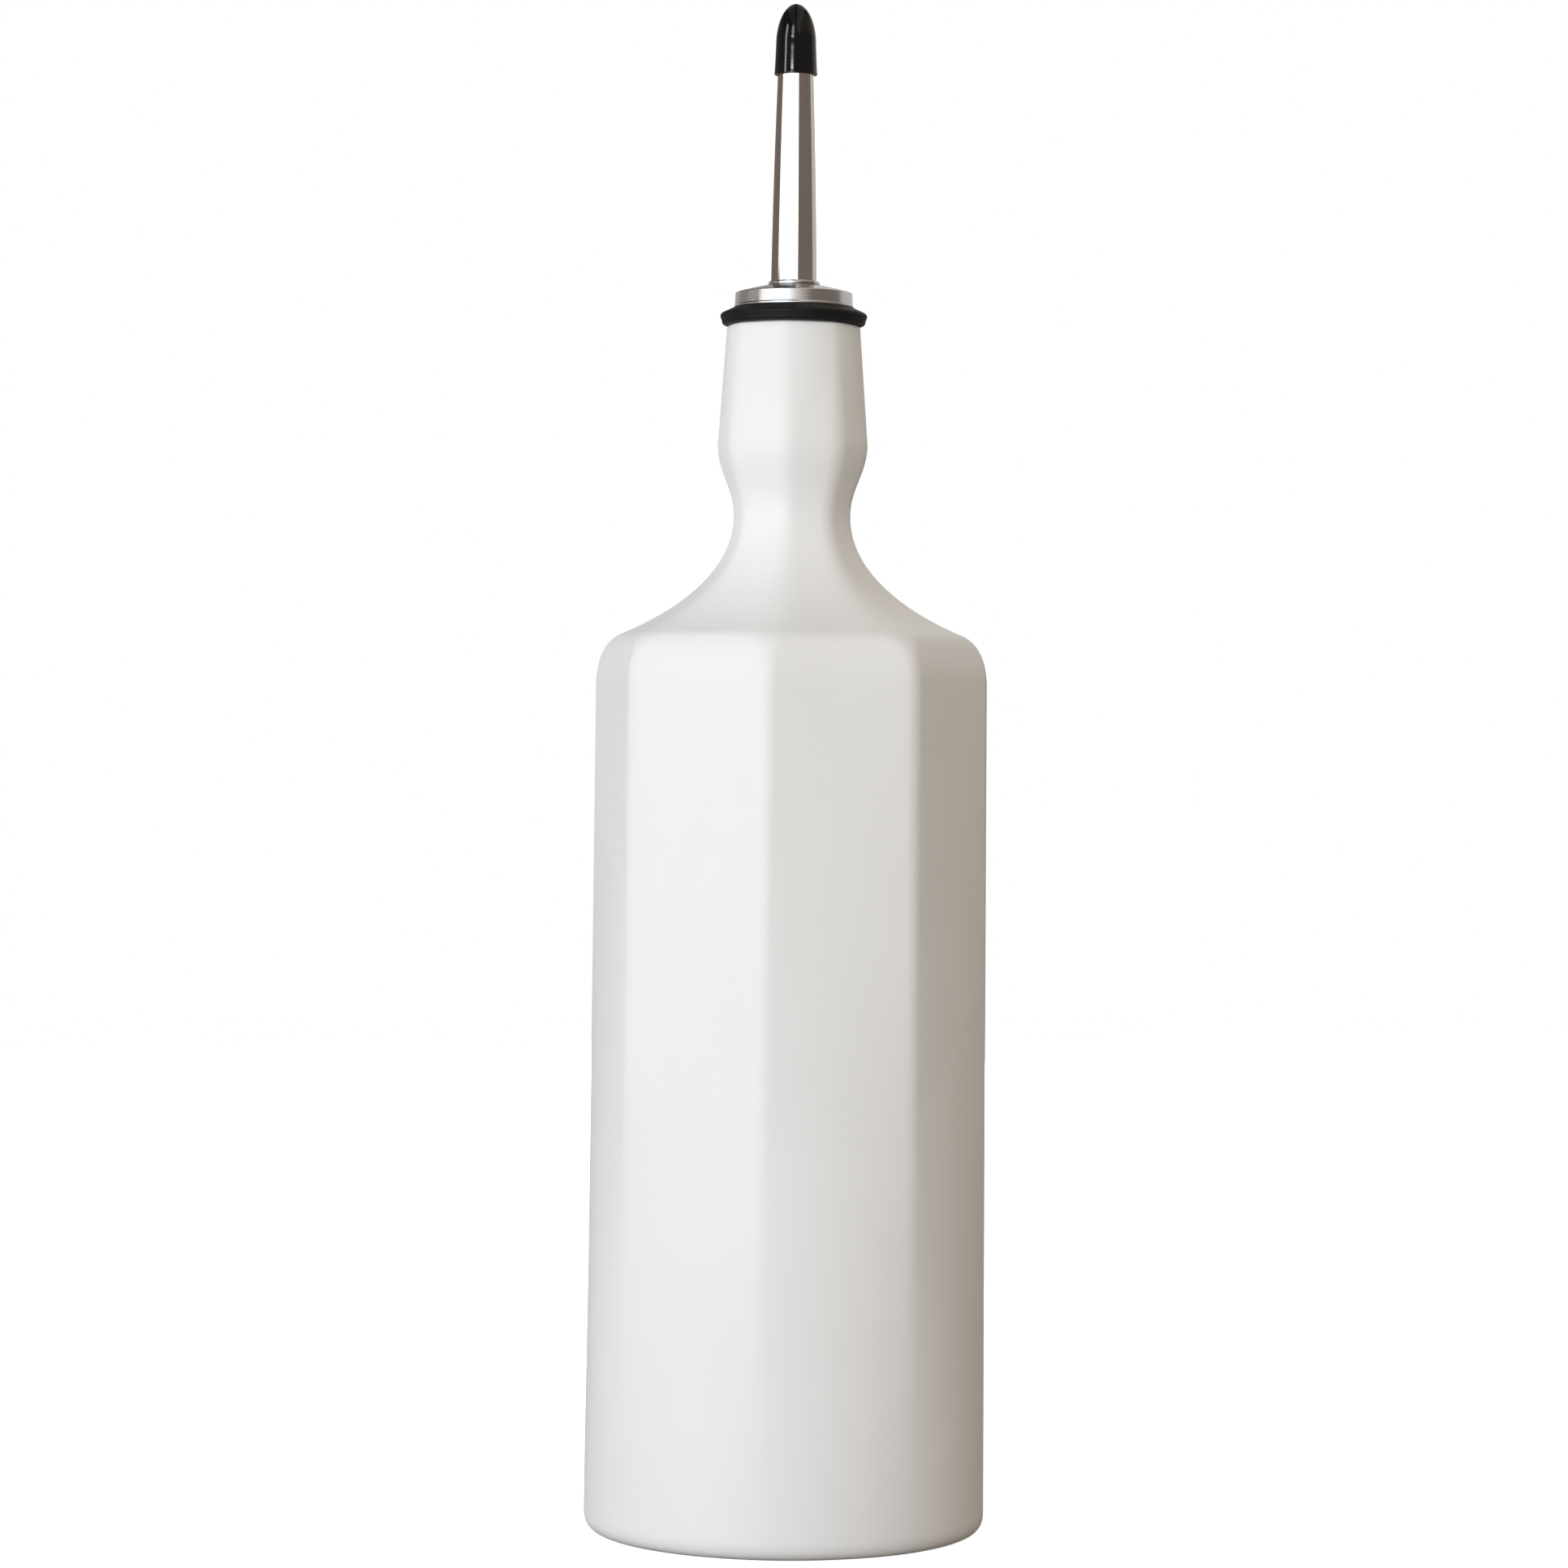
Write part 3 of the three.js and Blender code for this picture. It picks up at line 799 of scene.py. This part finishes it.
# Panes that the collar mirrors: left edge, right edge and level
COLLAR_TINT = (1, 0.97, 0.94)
COLLAR_PANES = (
    (-178, -135, 0.3),
    (-135, -100, 0.12),
    (-100, -80, 0.3),
    (-70, -43.5, 1.8),
    (-10, -2, 1.4),
    (-2, 6, 0.9),
    (6, 14, 0.62),
    (14, 22, 0.36),
    (22, 30, 0.17),
)

# The room's colour from straight down, at 0, to straight up, at 1
ROOM_COLOUR = (0.24, 0.20, 0.18, 1)
ROOM_DARK = (0, 0, 0, 1)
ROOM_LEVELS = (
    (0.36, ROOM_DARK),
    (0.42, ROOM_COLOUR),
    (0.67, ROOM_COLOUR),
    (0.73, ROOM_DARK),
)


def softbox(name, azimuths, elevations, level, matt=True, gloss=True):
    """A rectangular light that fills a span of azimuths and of elevations and faces the bottle.

    Its level is in red, green and blue, and it shows in matt looks, in gloss or in both.
    """
    azimuth = sum(azimuths) / 2
    elevation = sum(elevations) / 2
    peak = max(level)
    data = bpy.data.lights.new(name, "AREA")
    data.shape = "RECTANGLE"
    data.size = 2 * LIGHT_DISTANCE * math.tan(math.radians(azimuths[1] - azimuth))
    data.size_y = 2 * LIGHT_DISTANCE * math.tan(math.radians(elevations[1] - elevation))
    data.energy = peak * math.pi * data.size * data.size_y
    data.color = [value / peak for value in level]
    light = bpy.data.objects.new(name, data)
    bpy.context.scene.collection.objects.link(light)
    rise = math.radians(elevation)
    outward = direction(CAMERA_AZIMUTH + azimuth) * math.cos(rise) + Vector((0, 0, math.sin(rise)))
    light.location = LIGHT_TARGET + outward * LIGHT_DISTANCE
    light.rotation_mode = "QUATERNION"
    light.rotation_quaternion = outward.to_track_quat("Z", "Y")
    light.visible_camera = False
    light.visible_diffuse = matt
    light.visible_glossy = gloss
    return light


def link_light(light, pieces, state):
    """Has a light reach only some pieces (INCLUDE) or all but some (EXCLUDE)."""
    group = bpy.data.collections.new(light.name + "_group")
    for made in pieces:
        group.objects.link(made)
    for entry in group.collection_objects:
        entry.light_linking.link_state = state
    light.light_linking.receiver_collection = group


def level_sheet(name, height, finish):
    """A wide level sheet at a given height, with one finish."""
    mesh = bpy.data.meshes.new(name)
    shape = bmesh.new()
    bmesh.ops.create_grid(shape, x_segments=1, y_segments=1, size=FLOOR_SIDE / 2)
    shape.to_mesh(mesh)
    shape.free()
    mesh.materials.append(finish.material)
    sheet = bpy.data.objects.new(name, mesh)
    bpy.context.scene.collection.objects.link(sheet)
    sheet.location.z = height
    return sheet


def build_floor():
    """A pale floor that only the camera sees, and under it a table that the camera doesn't see."""
    pale = Finish("pale_floor", Base_Color=FLOOR_COLOUR, Roughness=1, Specular_IOR_Level=0)
    pale.shader.inputs["Emission Color"].default_value = BACKDROP_COLOUR
    pale.shader.inputs["Emission Strength"].default_value = FLOOR_GLOW
    floor = level_sheet("floor", 0, pale)
    floor.visible_diffuse = False
    floor.visible_glossy = False
    floor.visible_shadow = False
    dull = Finish("table_top", Base_Color=TABLE_COLOUR, Roughness=1, Specular_IOR_Level=0)
    table = level_sheet("table", -TABLE_DEPTH, dull)
    table.visible_camera = False


def build_room():
    """A dim room with a band of colour half way up, and a white backdrop that only the camera sees."""
    world = bpy.data.worlds.new("room")
    bpy.context.scene.world = world
    world.use_nodes = True
    nodes = world.node_tree.nodes
    links = world.node_tree.links
    room = nodes["Background"]
    output = nodes["World Output"]
    sky = nodes.new("ShaderNodeTexCoord")
    split = nodes.new("ShaderNodeSeparateXYZ")
    links.new(sky.outputs["Generated"], split.inputs["Vector"])
    height = nodes.new("ShaderNodeMapRange")
    height.inputs["From Min"].default_value = -1
    links.new(split.outputs["Z"], height.inputs["Value"])
    levels = nodes.new("ShaderNodeValToRGB")
    ramp = levels.color_ramp
    while len(ramp.elements) < len(ROOM_LEVELS):
        ramp.elements.new(1)
    for element, (position, colour) in zip(ramp.elements, ROOM_LEVELS):
        element.position = position
        element.color = colour
    links.new(height.outputs["Result"], levels.inputs["Fac"])
    links.new(levels.outputs["Color"], room.inputs["Color"])
    backdrop = nodes.new("ShaderNodeBackground")
    backdrop.inputs["Color"].default_value = BACKDROP_COLOUR
    rays = nodes.new("ShaderNodeLightPath")
    choice = nodes.new("ShaderNodeMixShader")
    links.new(rays.outputs["Is Camera Ray"], choice.inputs["Fac"])
    links.new(room.outputs["Background"], choice.inputs[1])
    links.new(backdrop.outputs["Background"], choice.inputs[2])
    links.new(choice.outputs["Shader"], output.inputs["Surface"])


def build_windows(brushed, cap):
    """Window panes on the left and in front, some of which don't reach the collar or the cap."""
    high_sky = softbox("high_sky", (-87, -43.5), HIGH_ROW, level=(1.75, 1.75, 1.75))
    low_sky = softbox("low_sky", (-77, -43.5), LOW_ROW, level=(1.8, 1.8, 2.08))
    low_sun = softbox("low_sun", (-42, -11), LOW_ROW, level=(4.9, 5.4, 6.5))
    high_sun = softbox("high_sun", (-42, -11), HIGH_ROW, level=(2.03, 2.49, 2.46))
    softbox("low_front", (-10, 8), LOW_ROW, level=(4.1, 3.97, 3.8), gloss=False)
    high_front = softbox("high_front", (-10, 18), (9, 25), level=(2.95, 2.72, 2.23))
    for light in (high_sky, low_sky, high_front):
        link_light(light, [*brushed, cap], "EXCLUDE")
    for light in (low_sun, high_sun):
        link_light(light, [cap], "EXCLUDE")


def build_collar_lights(brushed):
    """Panes that show only in the brushed steel, with a row in front that fades to the right."""
    for left, right, level in COLLAR_PANES:
        colour = [level * tint for tint in COLLAR_TINT]
        light = softbox(f"collar_pane_{left}", (left, right), BOTH_ROWS, level=colour, matt=False)
        link_light(light, brushed, "INCLUDE")


def build_fills():
    """Light from the walls and the ceiling, and from behind the bottle."""
    softbox("right_wall", (106, 178), (8, 40), level=(0.515, 0.51, 0.5))
    softbox("top_right", (30, 150), CEILING_ROW, level=(0.80, 0.73, 0.63))
    softbox("top_left", (-150, -30), CEILING_ROW, level=(0.36, 0.40, 0.44))
    softbox("upper_right", (20, 95), (30, 58), level=(0.48, 0.40, 0.32))
    softbox("left_fill", (-145, -90), (-5, 45), level=(1.41, 1.45, 1.35), gloss=False)
    softbox("back_fill", (152, 195), BACK_ROW, level=(2.6, 2.55, 2.45), gloss=False)


def build_spout_light(spout):
    """A pane behind the bottle that shows only in the spout."""
    back_pane = softbox("back_pane", (160, 192), BACK_ROW, level=(1.8, 1.8, 1.75), matt=False)
    link_light(back_pane, [spout], "INCLUDE")


def build_cap_lights(cap):
    """Narrow bright lights that show only in the gloss of the cap."""
    streak = softbox("streak", (-64.5, -56.5), (6, 37), level=(17.2, 18, 18.8), matt=False)
    low_pane = softbox("low_pane", (-27, -15), (19.9, 22.4), level=(53, 55, 57), matt=False)
    high_pane = softbox("high_pane", (-26, -14), (25, 38), level=(11.5, 12, 12.5), matt=False)
    for light in (streak, low_pane, high_pane):
        link_light(light, [cap], "INCLUDE")


def build_studio(made):
    brushed = [made["domed_collar"], made["foot_ring"]]
    cap = made["bullet_cap"]
    build_room()
    build_floor()
    build_windows(brushed, cap)
    build_collar_lights(brushed)
    build_fills()
    build_spout_light(made["tapered_spout"])
    build_cap_lights(cap)
    bpy.context.scene.view_settings.view_transform = "Standard"


pieces = build_pieces()
build_camera()
build_studio(pieces)
